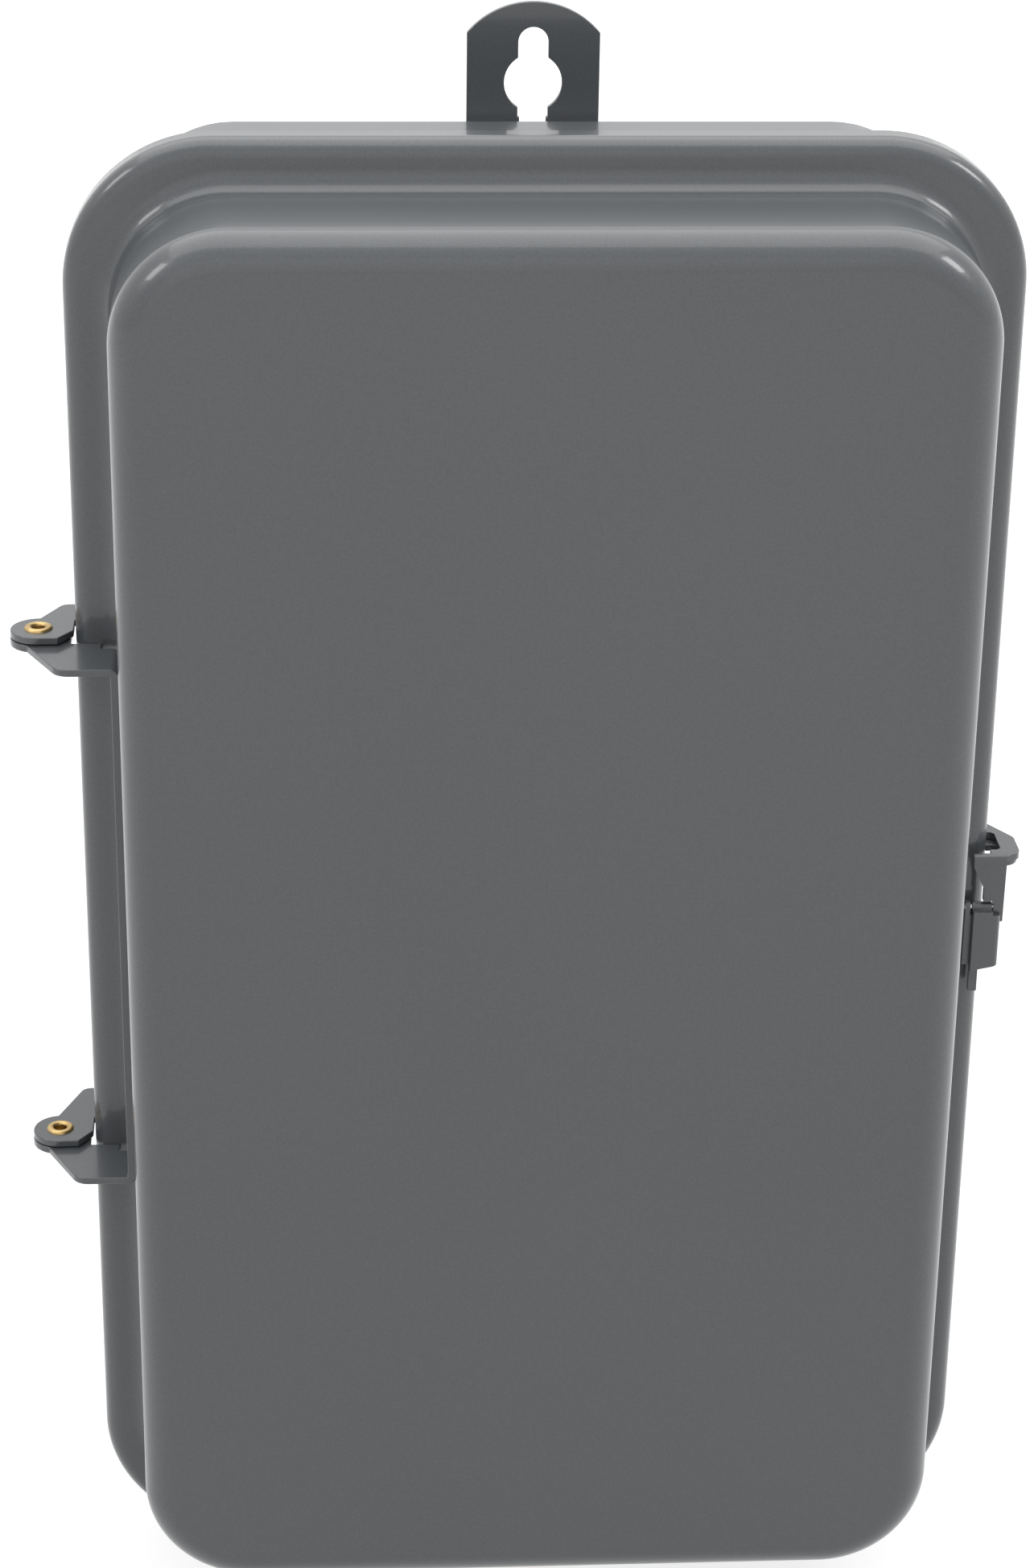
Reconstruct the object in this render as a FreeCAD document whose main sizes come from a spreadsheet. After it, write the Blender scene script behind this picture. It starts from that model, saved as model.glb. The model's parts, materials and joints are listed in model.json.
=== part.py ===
import FreeCAD, Part
import Sketcher
import math
import os

# Wall-hung drawn-steel disconnect enclosure.
# Frame: origin at the middle of the flat back face, wall plane y = 0, front towards -Y, +Z up.
# Depths are written as distance from the wall (q = -y).

SIZES = [
    ("sheet_t", 1.5), ("rim_w", 255.6), ("rim_h", 431.0), ("rim_r", 40.0),
    ("rim_q", 81.5), ("skirt", 11.0), ("rim_roll", 5.0), ("dome_in", 13.4),
    ("dome_d", 46.0), ("dome_nose", 10.0), ("dome_root", 6.0), ("dome_corner", 31.0),
    ("tub_in", 13.2), ("tub_end_in", 12.4), ("tub_corner", 31.0), ("tub_back_r", 8.0), ("tub_root", 2.0),
    ("lap_gap", 1.4), ("case_lip", 6.0), ("case_roll", 3.0), ("face_gap", 0.3),
    ("mount_x", 60.0), ("mount_end", 27.1),
    ("mount_hole_r", 3.5), ("knock_r", 14.0), ("knock_pitch", 62.0), ("knock_groove", 0.5),
    ("tab_w", 37.2), ("tab_rise", 32.2), ("tab_drop", 2.6), ("tab_sag", 8.6), ("tab_t", 2.0),
    ("key_r", 8.1), ("key_rise", 9.7), ("key_slot_r", 4.2), ("key_slot_rise", 21.0), ("key_low_r", 3.7),
    ("pin_out", 10.2), ("pin_back", 5.8), ("hinge_z", 78.0), ("ear_t", 2.0), ("ear_gap", 0.3),
    ("ear_nose", 7.7), ("ear_top", 1.2), ("upper_ear_back", 18.5), ("lower_ear_back", 24.3),
    ("ear_front", 25.5), ("ear_side_gap", 0.6), ("ear_tab_h", 14.0), ("web_gap", 0.6),
    ("web_t", 2.4), ("web_foot", 3.8), ("bend_r", 2.5),
    ("eyelet_r", 2.5), ("eyelet_bore_r", 1.8), ("eyelet_head_r", 3.9), ("eyelet_head_t", 0.8),
    ("run_gap", 0.06), ("pin_gap", 0.05),
    ("hasp_z", 12.0), ("hasp_t", 2.0), ("hasp_q", 5.0), ("hasp_reach", 8.6),
    ("eye_w", 3.1), ("eye_front", 0.5), ("eye_back", 11.3), ("staple_eye_back", 7.7),
    ("eye_side_gap", 0.4), ("strap_in", 4.7), ("strap_out", 0.6), ("strap_z", -22.0),
    ("neck_in", 1.4), ("neck_out", 4.4), ("hook_out", 1.6), ("foot_in", 6.4),
    ("latch_z", -4.4), ("latch_q", 3.5), ("latch_pin_r", 0.8), ("slot_rise", 2.3),
    ("leaf_drop", 0.3), ("knuckle_r", 1.5), ("knuckle_gap", 0.4), ("clip_t", 1.8),
    ("clip_in", 4.4), ("clip_out", 3.5), ("clip_side_t", 1.5), ("clip_bottom", -23.2),
    ("clip_slant", 1.6), ("clip_side_top", -9.2), ("toe_t", 1.5), ("toe_out", 0.6),
    ("toe_top", -12.0), ("keeper_out", 0.3), ("tail_z", -30.5),
    ("panel_in", 39.2), ("panel_end_in", 106.2), ("panel_q", 24.0), ("panel_foot", 20.0),
    ("panel_screw_in", 10.0), ("panel_screw_end", 22.0), ("screw_r", 2.4), ("screw_head_r", 4.5),
    ("screw_head_t", 2.6), ("screw_gap", 0.1),
    ("base_w", 80.0), ("base_h", 130.0), ("base_q", 54.0), ("floor_q", 28.0), ("wall_t", 4.0),
    ("bay_run", 25.0), ("cover_h", 84.0), ("cover_q", 86.0), ("shell_t", 3.0),
    ("toggle_q", 71.0), ("hub_r", 10.4), ("hub_w", 30.0), ("stem_t", 9.0), ("stem_w", 22.0),
    ("stem_q", 103.0), ("toggle_off", 25.0), ("slot_z", 13.5), ("toggle_shaft_r", 3.0),
    ("bar_q", 39.0), ("bar_z", -22.0), ("bar_r", 5.0), ("bar_end_r", 3.0), ("arm_x", 19.0),
    ("arm_w", 5.0), ("arm_t", 4.0), ("arm_len", 34.0), ("arm_open", 22.0), ("tip_r", 3.0),
    ("strip_w", 12.0), ("strip_t", 2.0), ("contact_t", 1.2), ("contact_gap", 0.3),
    ("lug_w", 16.0), ("lug_h", 16.0), ("lug_q", 52.0), ("wire_r", 5.0), ("lug_screw_r", 3.3),
    ("front_in", 21.2), ("front_end_in", 30.2), ("front_q", 76.0), ("front_r", 14.0),
    ("front_turn", 8.0), ("front_gap", 1.2), ("post_in", 16.0), ("post_end", 23.0),
    ("post_r", 4.0), ("post_screw_r", 1.9),
    ("bar_w", 10.0), ("bar_len", 84.0), ("bar_in", 31.0), ("bar_end", 54.0),
    ("neutral_lift", 10.0), ("bar_pitch", 16.0),
    ("bar_bore_r", 1.9), ("bar_screw_r", 1.6),
]


class Dim:
    # a size that carries both its number and the spreadsheet expression it came from
    def __init__(self, value, text):
        self.value = float(value)
        self.text = text

    def __add__(self, other):
        o = dim(other)
        return Dim(self.value + o.value, "(%s + %s)" % (self.text, o.text))

    def __sub__(self, other):
        o = dim(other)
        return Dim(self.value - o.value, "(%s - %s)" % (self.text, o.text))

    def __mul__(self, other):
        o = dim(other)
        return Dim(self.value * o.value, "(%s * %s)" % (self.text, o.text))

    def __truediv__(self, other):
        o = dim(other)
        return Dim(self.value / o.value, "(%s / %s)" % (self.text, o.text))

    def __neg__(self):
        return Dim(-self.value, "(0 - %s)" % self.text)

    def __radd__(self, other):
        return dim(other) + self

    def __rsub__(self, other):
        return dim(other) - self

    def __rmul__(self, other):
        return dim(other) * self


def dim(value):
    if isinstance(value, Dim):
        return value
    return Dim(value, "%.6f" % float(value))


class Sizes:
    pass


doc = FreeCAD.newDocument("Disconnect")
sheet = doc.addObject("Spreadsheet::Sheet", "dims")
s = Sizes()
for row, (alias, value) in enumerate(SIZES, start=1):
    sheet.set("A%d" % row, alias)
    sheet.set("B%d" % row, "%.4f" % value)
    sheet.setAlias("B%d" % row, alias)
    setattr(s, alias, Dim(value, "dims." + alias))
doc.recompute()

# derived sizes shared by several sub-parts
dome_w = s.rim_w - 2 * s.dome_in
dome_h = s.rim_h - 2 * s.dome_in
dome_r = s.dome_corner
face_q = s.rim_q + s.dome_d
tub_w = s.rim_w - 2 * s.tub_in
tub_h = s.rim_h - 2 * s.tub_end_in
tub_r = s.tub_corner
case_q = s.rim_q - s.sheet_t - s.face_gap
lap = s.sheet_t + s.lap_gap
flange_w = s.rim_w - 2 * lap
flange_h = s.rim_h - 2 * lap
flange_r = s.rim_r - lap
skirt_q = s.rim_q - s.skirt
tub_side = tub_w / 2
rim_side = s.rim_w / 2
pin_q = s.rim_q - s.pin_back
pin_x = rim_side + s.pin_out
hasp_edge = rim_side + s.eye_side_gap
hasp_nose = rim_side + s.hasp_reach
hook_x = rim_side + s.hook_out
neck_x1 = rim_side + s.neck_out
foot_x = rim_side - s.foot_in
clip_x0 = rim_side - s.clip_in
clip_x1 = rim_side + s.clip_out
latch_axis_q = s.rim_q + s.latch_q
panel_w = tub_w - s.panel_in
panel_h = tub_h - s.panel_end_in
front_w = tub_w - s.front_in
front_h = tub_h - s.front_end_in
cavity_z = s.base_h / 2 - s.bay_run
mount_z = tub_h / 2 - s.mount_end
panel_screw_x = panel_w / 2 - s.panel_screw_in
panel_screw_z = panel_h / 2 - s.panel_screw_end
post_x = front_w / 2 - s.post_in
post_z = front_h / 2 - s.post_end
ground_x = panel_w / 2 - s.bar_in
ground_z = s.bar_end - panel_h / 2
neutral_x = -ground_x
neutral_z = ground_z
nodes = []


# ---------------------------------------------------------------- drawing helpers
def pin_point(sk, geo, pos, x, y):
    for kind, value, axis in (("DistanceX", dim(x), -2), ("DistanceY", dim(y), -1)):
        if abs(value.value) < 1e-9:
            sk.addConstraint(Sketcher.Constraint("PointOnObject", geo, pos, axis))
        else:
            k = sk.addConstraint(Sketcher.Constraint(kind, -1, 1, geo, pos, value.value))
            sk.setExpression("Constraints[%d]" % k, value.text)


def poly(points):
    def draw(sk):
        pts = [(dim(x), dim(y)) for x, y in points]
        first = sk.GeometryCount
        n = len(pts)
        for i in range(n):
            a = pts[i]
            b = pts[(i + 1) % n]
            start = FreeCAD.Vector(a[0].value, a[1].value, 0)
            end = FreeCAD.Vector(b[0].value, b[1].value, 0)
            sk.addGeometry(Part.LineSegment(start, end), False)
        for i in range(n):
            j = first + (i + 1) % n
            sk.addConstraint(Sketcher.Constraint("Coincident", first + i, 2, j, 1))
        for i in range(n):
            pin_point(sk, first + i, 1, pts[i][0], pts[i][1])
    return draw


def rect(x0, x1, y0, y1):
    return poly([(x0, y0), (x1, y0), (x1, y1), (x0, y1)])


def centred(w, h):
    w = dim(w)
    h = dim(h)
    return rect(-w / 2, w / 2, -h / 2, h / 2)


def rounded(w, h, r):
    # a centred rectangle with round corners
    def draw(sk):
        x = dim(w) / 2 - r
        y = dim(h) / 2 - r
        rr = dim(r)
        flat = FreeCAD.Vector(0, 0, 1)
        corners = [(x, -y, -90), (x, y, 0), (-x, y, 90), (-x, -y, 180)]
        ends = []
        arcs = []
        for cx, cy, turn in corners:
            ring = Part.Circle(FreeCAD.Vector(cx.value, cy.value, 0), flat, rr.value)
            a0 = math.radians(turn)
            arc = Part.ArcOfCircle(ring, a0, a0 + math.pi / 2)
            g = sk.addGeometry(arc, False)
            pin_point(sk, g, 3, cx, cy)
            k = sk.addConstraint(Sketcher.Constraint("Radius", g, rr.value))
            sk.setExpression("Constraints[%d]" % k, rr.text)
            arcs.append(g)
            ends.append((arc.StartPoint, arc.EndPoint))
        for i in range(4):
            j = (i + 1) % 4
            g = sk.addGeometry(Part.LineSegment(ends[i][1], ends[j][0]), False)
            sk.addConstraint(Sketcher.Constraint("Tangent", arcs[i], 2, g, 1))
            sk.addConstraint(Sketcher.Constraint("Tangent", g, 2, arcs[j], 1))
    return draw


def arched(half, low, top, sag):
    # straight sides under an arc that falls by sag from its crown to the shoulders
    def draw(sk):
        rise = dim(sag)
        rr = (half * half + rise * rise) / (rise * 2)
        cy = dim(top) - rr
        centre = FreeCAD.Vector(0, cy.value, 0)
        ring = Part.Circle(centre, FreeCAD.Vector(0, 0, 1), rr.value)
        shoulder = (dim(top) - rise).value
        a0 = math.atan2(shoulder - cy.value, half.value)
        g = sk.addGeometry(Part.ArcOfCircle(ring, a0, math.pi - a0), False)
        pin_point(sk, g, 3, 0, cy)
        k = sk.addConstraint(Sketcher.Constraint("Radius", g, rr.value))
        sk.setExpression("Constraints[%d]" % k, rr.text)
        x = half.value
        y = dim(low).value
        path = [(-x, shoulder), (-x, y), (x, y), (x, shoulder)]
        spots = [FreeCAD.Vector(a, b, 0) for a, b in path]
        for i in range(3):
            sk.addGeometry(Part.LineSegment(spots[i], spots[i + 1]), False)
        for i in range(4):
            sk.addConstraint(Sketcher.Constraint("Coincident", g + i, 2, g + (i + 1) % 4, 1))
        pin_point(sk, g + 2, 1, -half, low)
        pin_point(sk, g + 2, 2, half, low)
        sk.addConstraint(Sketcher.Constraint("Vertical", g + 1))
        sk.addConstraint(Sketcher.Constraint("Vertical", g + 3))
    return draw


def circle(x, y, r):
    def draw(sk):
        cx = dim(x)
        cy = dim(y)
        rr = dim(r)
        centre = FreeCAD.Vector(cx.value, cy.value, 0)
        g = sk.addGeometry(Part.Circle(centre, FreeCAD.Vector(0, 0, 1), rr.value), False)
        pin_point(sk, g, 3, cx, cy)
        k = sk.addConstraint(Sketcher.Constraint("Radius", g, rr.value))
        sk.setExpression("Constraints[%d]" % k, rr.text)
    return draw


def sketch(body, plane, name, loops, lift):
    sk = body.newObject("Sketcher::SketchObject", name)
    origin = [f for f in body.Origin.OriginFeatures if f.Role == plane + "_Plane"][0]
    sk.AttachmentSupport = [(origin, "")]
    sk.MapMode = "FlatFace"
    sk.setExpression("AttachmentOffset.Base.z", dim(lift).text)
    for draw in loops:
        draw(sk)
    doc.recompute()
    return sk


def extrude(body, plane, name, loops, start, end):
    # material between two levels; XZ levels are distances from the wall
    start = dim(start)
    end = dim(end)
    f = body.newObject("PartDesign::Pad", name)
    f.Profile = sketch(body, plane, name + "Sketch", loops, start)
    f.Length = end.value - start.value
    f.setExpression("Length", (end - start).text)
    body.Tip = f
    doc.recompute()
    return f


def cut(body, plane, name, loops, start, end):
    # opening between two levels, cut down from the upper one
    start = dim(start)
    end = dim(end)
    before = body.Tip.Shape.Volume
    f = body.newObject("PartDesign::Pocket", name)
    f.Profile = sketch(body, plane, name + "Sketch", loops, end)
    f.Length = end.value - start.value
    f.setExpression("Length", (end - start).text)
    body.Tip = f
    doc.recompute()
    if f.Shape.Volume > before - 1e-3:
        raise ValueError("cut removed nothing: %s %s" % (body.Label, name))
    return f


def fillet(body, name, test, radius):
    base = body.Tip
    found = ["Edge%d" % (i + 1) for i, e in enumerate(base.Shape.Edges) if test(e)]
    if not found:
        raise ValueError("no edge for %s %s" % (body.Label, name))
    f = body.newObject("PartDesign::Fillet", name)
    f.Base = (base, found)
    f.Radius = dim(radius).value
    f.setExpression("Radius", dim(radius).text)
    body.Tip = f
    doc.recompute()
    if "Invalid" in f.State or f.Shape.isNull():
        raise ValueError("fillet failed: %s %s %d edges" % (body.Label, name, len(found)))
    return f


def is_along(edge, axis):
    box = edge.BoundBox
    size = [box.XLength, box.YLength, box.ZLength]
    others = [v for i, v in enumerate(size) if i != axis]
    return size[axis] > 0.05 and max(others) < 1e-4


def is_at(edge, axis, value):
    box = edge.BoundBox
    low = (box.XMin, box.YMin, box.ZMin)[axis]
    high = (box.XMax, box.YMax, box.ZMax)[axis]
    return abs(low - value) < 1e-3 and abs(high - value) < 1e-3


def near(edge, axis, value, tol=0.6):
    p = edge.CenterOfMass
    return abs((p.x, p.y, p.z)[axis] - value) < tol


def inside(edge, half_w, half_h):
    box = edge.BoundBox
    wide = max(abs(box.XMin), abs(box.XMax)) < half_w
    return wide and max(abs(box.ZMin), abs(box.ZMax)) < half_h


def corner(edge, axis, points):
    # a straight edge along one axis whose other two coordinates match one of the points
    if not is_along(edge, axis):
        return False
    p = edge.CenterOfMass
    pair = [v for i, v in enumerate((p.x, p.y, p.z)) if i != axis]
    for a, b in points:
        if abs(pair[0] - dim(a).value) < 0.01 and abs(pair[1] - dim(b).value) < 0.01:
            return True
    return False


def new_body(label):
    body = doc.addObject("PartDesign::Body", label)
    body.Label = label
    body.AllowCompound = True
    nodes.append(body)
    return body


def place(body, x=0, q=0, z=0):
    body.setExpression("Placement.Base.x", dim(x).text)
    body.setExpression("Placement.Base.y", (-dim(q)).text)
    body.setExpression("Placement.Base.z", dim(z).text)
    doc.recompute()


def grid(xs, zs):
    return [(x, z) for x in xs for z in zs]


# ---------------------------------------------------------------- case side
def make_rear_case():
    b = new_body("rear_case")
    extrude(b, "XZ", "Tub", [rounded(tub_w, tub_h, tub_r)], 0, case_q)
    flange_q = case_q - s.sheet_t
    inner_w = tub_w - 2 * s.sheet_t
    inner_h = tub_h - 2 * s.sheet_t
    cut(b, "XZ", "Hollow", [rounded(inner_w, inner_h, tub_r - s.sheet_t)], s.sheet_t, case_q)
    fillet(b, "HollowBack", lambda e: is_at(e, 1, -s.sheet_t.value), s.tub_back_r - s.sheet_t)
    ring = [rounded(flange_w, flange_h, flange_r), rounded(inner_w, inner_h, tub_r - s.sheet_t)]
    lip_q = case_q - s.case_lip
    extrude(b, "XZ", "Flange", ring, lip_q, case_q)
    channel = [rounded(flange_w - 2 * s.sheet_t, flange_h - 2 * s.sheet_t, flange_r - s.sheet_t),
               rounded(tub_w, tub_h, tub_r)]
    cut(b, "XZ", "LipChannel", channel, lip_q, flange_q)
    fillet(b, "LipRoll", lambda e: is_at(e, 1, -case_q.value)
           and not inside(e, tub_side.value + 1, tub_h.value / 2 + 1), s.case_roll)
    fillet(b, "BackEdge", lambda e: is_at(e, 1, 0), s.tub_back_r)
    fillet(b, "FlangeRoot", lambda e: is_at(e, 1, -flange_q.value)
           and inside(e, tub_side.value + 1, tub_h.value / 2 + 1), s.tub_root)
    holes = [circle(s.mount_x * k, -mount_z, s.mount_hole_r) for k in (-1, 1)]
    cut(b, "XZ", "MountHoles", holes, 0, s.sheet_t)
    screws = [circle(panel_screw_x * kx, panel_screw_z * kz, s.screw_r + s.screw_gap)
              for kx, kz in grid((-1, 1), (-1, 1))]
    cut(b, "XZ", "PanelScrewHoles", screws, 0, s.sheet_t)
    rings = []
    for k in (-1, 0, 1):
        rings.append(circle(s.knock_pitch * k, -s.rim_q / 2, s.knock_r))
        rings.append(circle(s.knock_pitch * k, -s.rim_q / 2, s.knock_r - 1.2))
    low = -tub_h / 2
    groove = b.newObject("PartDesign::Pocket", "KnockoutGrooves")
    groove.Profile = sketch(b, "XY", "KnockoutSketch", rings, low)
    groove.Length = s.knock_groove.value
    groove.setExpression("Length", s.knock_groove.text)
    groove.Reversed = True
    b.Tip = groove
    doc.recompute()


def make_hanger_tab():
    b = new_body("hanger_tab")
    half = s.tab_w / 2
    low = -s.tab_drop
    top = s.tab_rise
    extrude(b, "XZ", "Plate", [arched(half, low, top, s.tab_sag)], 0, s.tab_t)
    cut(b, "XZ", "KeyRound", [circle(0, s.key_rise, s.key_r)], 0, s.tab_t)
    slot = rect(-s.key_slot_r, s.key_slot_r, 0, s.key_slot_rise)
    cut(b, "XZ", "KeySlot", [slot], 0, s.tab_t)
    cut(b, "XZ", "KeySlotEnd", [circle(0, s.key_slot_rise, s.key_slot_r)], 0, s.tab_t)
    leg = rect(-s.key_low_r, s.key_low_r, low - 1.0, s.key_rise)
    cut(b, "XZ", "LowerSlot", [leg], 0, s.tab_t)
    place(b, 0, 0, tub_h / 2)


def ear_corners(body, name, points, radius):
    fillet(body, name, lambda e: corner(e, 2, points), radius)


def make_case_ear(label, level, back, lean):
    # round nose on the hinge line, widening to a shoulder welded on the case wall
    b = new_body(label)
    wall = pin_x - tub_side
    z0 = s.ear_top - s.ear_t
    inner = -s.pin_back + s.skirt + 1.0
    side = s.pin_out - s.ear_side_gap
    pts = [(0, 0.1 - s.ear_nose), (s.pin_out - 4.6, 0.1 - s.ear_nose), (side, -1.8),
           (side, inner), (wall, inner), (wall, back), (5.6, back), (-lean, s.ear_nose - 0.5 - lean)]
    extrude(b, "XY", "Nose", [circle(0, 0, s.ear_nose)], z0, s.ear_top)
    extrude(b, "XY", "Plate", [poly(pts)], z0, s.ear_top)
    tab = rect(wall - s.ear_t, wall, inner + 4.0, back)
    extrude(b, "XY", "WeldTab", [tab], z0, s.ear_top + s.ear_tab_h)
    ear_corners(b, "Shoulder", [(5.6, back)], 3.0)
    cut(b, "XY", "EyeletHole", [circle(0, 0, s.eyelet_r)], z0, s.ear_top)
    place(b, -pin_x, pin_q, level)


def make_cover_bracket():
    b = new_body("cover_hinge_bracket")
    high = s.ear_top - s.ear_t - s.ear_gap
    low = high - s.ear_t
    web1 = pin_x - dome_w / 2 - s.web_gap
    web0 = web1 - s.web_t
    rim = -s.pin_back
    foot = rim - s.web_foot
    front = -s.ear_front
    relief = s.pin_out - 2 * s.ear_side_gap
    step = web0 - 3.2
    pts = [(-3.0, 0.7 - s.ear_nose), (6.3, front), (web1, front), (web1, foot), (step, foot),
           (step, rim), (relief, rim), (relief, 2.5), (5.0, s.ear_nose - 1.8)]
    for side, name in ((-1, "Lower"), (1, "Upper")):
        z0 = s.hinge_z * side + low
        z1 = s.hinge_z * side + high
        extrude(b, "XY", name + "Nose", [circle(0, 0, s.ear_nose + 0.1)], z0, z1)
        extrude(b, "XY", name + "Ear", [poly(pts)], z0, z1)
    web = rect(web0, web1, front, foot)
    extrude(b, "XY", "Web", [web], -s.hinge_z + low, s.hinge_z + high)
    ear_corners(b, "FrontCorner", [(6.3, front)], 5.0)
    ends = [(-s.hinge_z + low).value, (s.hinge_z + high).value]
    for k, level in enumerate(ends):
        fillet(b, "Bend%d" % k,
               lambda e: is_along(e, 1) and near(e, 2, level, 0.01) and near(e, 0, web1.value, 0.01),
               s.bend_r)
    holes = [circle(0, 0, s.eyelet_r + s.run_gap)]
    cut(b, "XY", "EyeletHoles", holes, -s.hinge_z + low, s.hinge_z + high)
    place(b, -pin_x, pin_q, 0)


def make_hinge_rivet(label, level):
    b = new_body(label)
    top = s.ear_top
    bottom = s.ear_top - 2 * s.ear_t - s.ear_gap - 0.3
    head = s.eyelet_head_t
    pts = [(s.eyelet_bore_r, bottom - head), (s.eyelet_head_r, bottom - head),
           (s.eyelet_head_r, bottom), (s.eyelet_r - s.pin_gap / 5, bottom),
           (s.eyelet_r - s.pin_gap / 5, top), (s.eyelet_head_r, top),
           (s.eyelet_head_r - 0.5, top + head), (s.eyelet_bore_r, top + head)]
    f = b.newObject("PartDesign::Revolution", "Eyelet")
    sk = sketch(b, "XZ", "EyeletSketch", [poly(pts)], 0)
    f.Profile = sk
    f.ReferenceAxis = (sk, ["V_Axis"])
    f.Angle = 360
    b.Tip = f
    doc.recompute()
    place(b, -pin_x, pin_q, level)


def make_hasp_staple():
    # eye plate welded to the case wall, reaching round behind the cover skirt
    b = new_body("hasp_staple")
    top = s.hasp_z - s.hasp_t - s.ear_gap
    inner_q = skirt_q - 1.2
    nose = hasp_nose
    edge = hasp_edge
    front = s.rim_q + 2.6
    bend = -s.rim_q + 7.8
    tail = -s.rim_q + 25.5
    pts = [(tub_side, -inner_q), (edge, -inner_q), (edge, -front), (nose, -front),
           (nose, bend), (edge, -s.rim_q + 20.8), (edge - 3.0, tail), (tub_side, tail)]
    extrude(b, "XY", "Plate", [poly(pts)], top - s.hasp_t, top)
    ear_corners(b, "NoseFront", [(nose, -front)], 4.6)
    ear_corners(b, "NoseBack", [(nose, bend)], 3.4)
    tab = rect(tub_side, tub_side + s.hasp_t, -inner_q + 4.0, tail)
    extrude(b, "XY", "WeldTab", [tab], top - s.hasp_t, top + 12.0)
    eye_cut(b, top - s.hasp_t, top, s.staple_eye_back)


def eye_cut(body, z0, z1, back):
    # slot for a lock or seal, open towards the cover skirt
    right = hasp_edge + s.eye_w
    y0 = -s.rim_q - s.eye_front
    y1 = -s.rim_q + back
    pts = [(hasp_edge - 0.5, y0), (right - 1.0, y0), (right, y0 + 1.0), (right, y1 - 1.0),
           (right - 1.0, y1), (hasp_edge - 0.5, y1)]
    cut(body, "XY", "Eye", [poly(pts)], z0, z1)


def make_cover_hasp():
    b = new_body("cover_hasp")
    top = s.hasp_z
    nose = hasp_nose
    edge = hasp_edge
    q1 = s.rim_q + s.hasp_q
    q0 = q1 - s.hasp_t
    left = rim_side - s.strap_in
    bend = -s.rim_q + 7.8
    arm = -s.rim_q + 17.5
    eye = [(left, -q1), (nose - 4.6, -q1), (nose, -s.rim_q - 2.6), (nose, bend),
           (edge + 2.1, arm), (edge, arm), (edge, -q0), (left, -q0)]
    extrude(b, "XY", "EyePlate", [poly(eye)], top - s.hasp_t, top)
    ear_corners(b, "Nose", [(nose, -s.rim_q - 2.6), (nose, bend)], 3.0)
    slot_top = s.latch_z + s.slot_rise
    slot_low = s.latch_z - s.knuckle_r - s.knuckle_gap
    bridge = slot_low - 2.2
    neck_x0 = rim_side - s.neck_in
    strap_x1 = rim_side + s.strap_out
    neck = [(left, top), (left, top - 3.6), (neck_x0, 1.6), (neck_x0, slot_top),
            (hook_x, slot_top), (hook_x, slot_low), (foot_x, slot_low), (foot_x, s.strap_z),
            (strap_x1, s.strap_z), (strap_x1, bridge), (neck_x1, bridge), (neck_x1 + 0.2, top)]
    extrude(b, "XZ", "Strap", [poly(neck)], q0, q1)
    foot = rect(foot_x, foot_x + 1.4, s.strap_z, slot_low)
    extrude(b, "XZ", "Foot", [foot], s.rim_q, q1)
    post = rect(foot_x, foot_x + 1.4, slot_low, -slot_low + 2 * s.latch_z)
    extrude(b, "XZ", "PinPost", [post], q0, q1)
    tail = rect(left + 0.6, left + 3.0, s.tail_z, s.strap_z)
    extrude(b, "XZ", "Tail", [tail], q0, q1)
    fillet(b, "Bend",
           lambda e: is_along(e, 0) and is_at(e, 2, top.value) and is_at(e, 1, -q1.value), 1.6)
    knuckle = [circle(-latch_axis_q, s.latch_z, s.knuckle_r)]
    extrude(b, "YZ", "LeftKnuckle", knuckle, foot_x, foot_x + 1.4)
    extrude(b, "YZ", "RightKnuckle", knuckle, hook_x, neck_x1)
    cut(b, "YZ", "PinHole", [circle(-latch_axis_q, s.latch_z, s.latch_pin_r)],
        foot_x - 0.1, neck_x1 + 0.5)
    eye_cut(b, top - s.hasp_t, top, s.eye_back)


def make_latch_pin():
    b = new_body("latch_pin")
    extrude(b, "YZ", "Shank", [circle(-latch_axis_q, s.latch_z, s.latch_pin_r)],
            foot_x - 0.4, neck_x1 + 0.2)


def make_latch_clip():
    b = new_body("latch_clip")
    q0 = s.rim_q + s.hasp_q + s.knuckle_gap
    q1 = q0 + s.clip_t
    end = hook_x - 0.4
    extrude(b, "YZ", "Knuckle", [circle(-latch_axis_q, s.latch_z, s.knuckle_r)], clip_x0, end)
    leaf_top = s.latch_z - s.leaf_drop
    low = s.latch_z - s.knuckle_r
    extrude(b, "YZ", "Neck", [rect(-q0 - 0.3, -latch_axis_q, low, leaf_top)], clip_x0, end)
    bottom = s.clip_bottom + s.clip_slant
    leaf = [(clip_x0, leaf_top), (end, leaf_top), (end, low), (clip_x1, low),
            (clip_x1, bottom), (clip_x0, s.clip_bottom)]
    extrude(b, "XZ", "Leaf", [poly(leaf)], q0, q1)
    side0 = clip_x1 - s.clip_side_t
    toe_q1 = skirt_q - 2.2
    toe_q0 = toe_q1 - s.toe_t
    side = rect(side0, clip_x1, bottom, s.clip_side_top)
    extrude(b, "XZ", "Side", [side], toe_q0, q1)
    toe = rect(rim_side + s.toe_out, clip_x1, bottom, s.toe_top)
    extrude(b, "XZ", "Toe", [toe], toe_q0, toe_q1)
    relief = poly([(-toe_q0, s.clip_side_top), (-toe_q0, s.toe_top),
                   (-s.rim_q + 2.0, s.clip_side_top)])
    cut(b, "YZ", "SideRelief", [relief], side0, clip_x1)
    fillet(b, "LeafBend",
           lambda e: is_along(e, 2) and near(e, 0, clip_x1.value, 0.01)
           and near(e, 1, -q1.value, 0.01), 1.5)
    cut(b, "YZ", "PinBore", [circle(-latch_axis_q, s.latch_z, s.latch_pin_r + s.pin_gap)],
        clip_x0, end)


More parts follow.
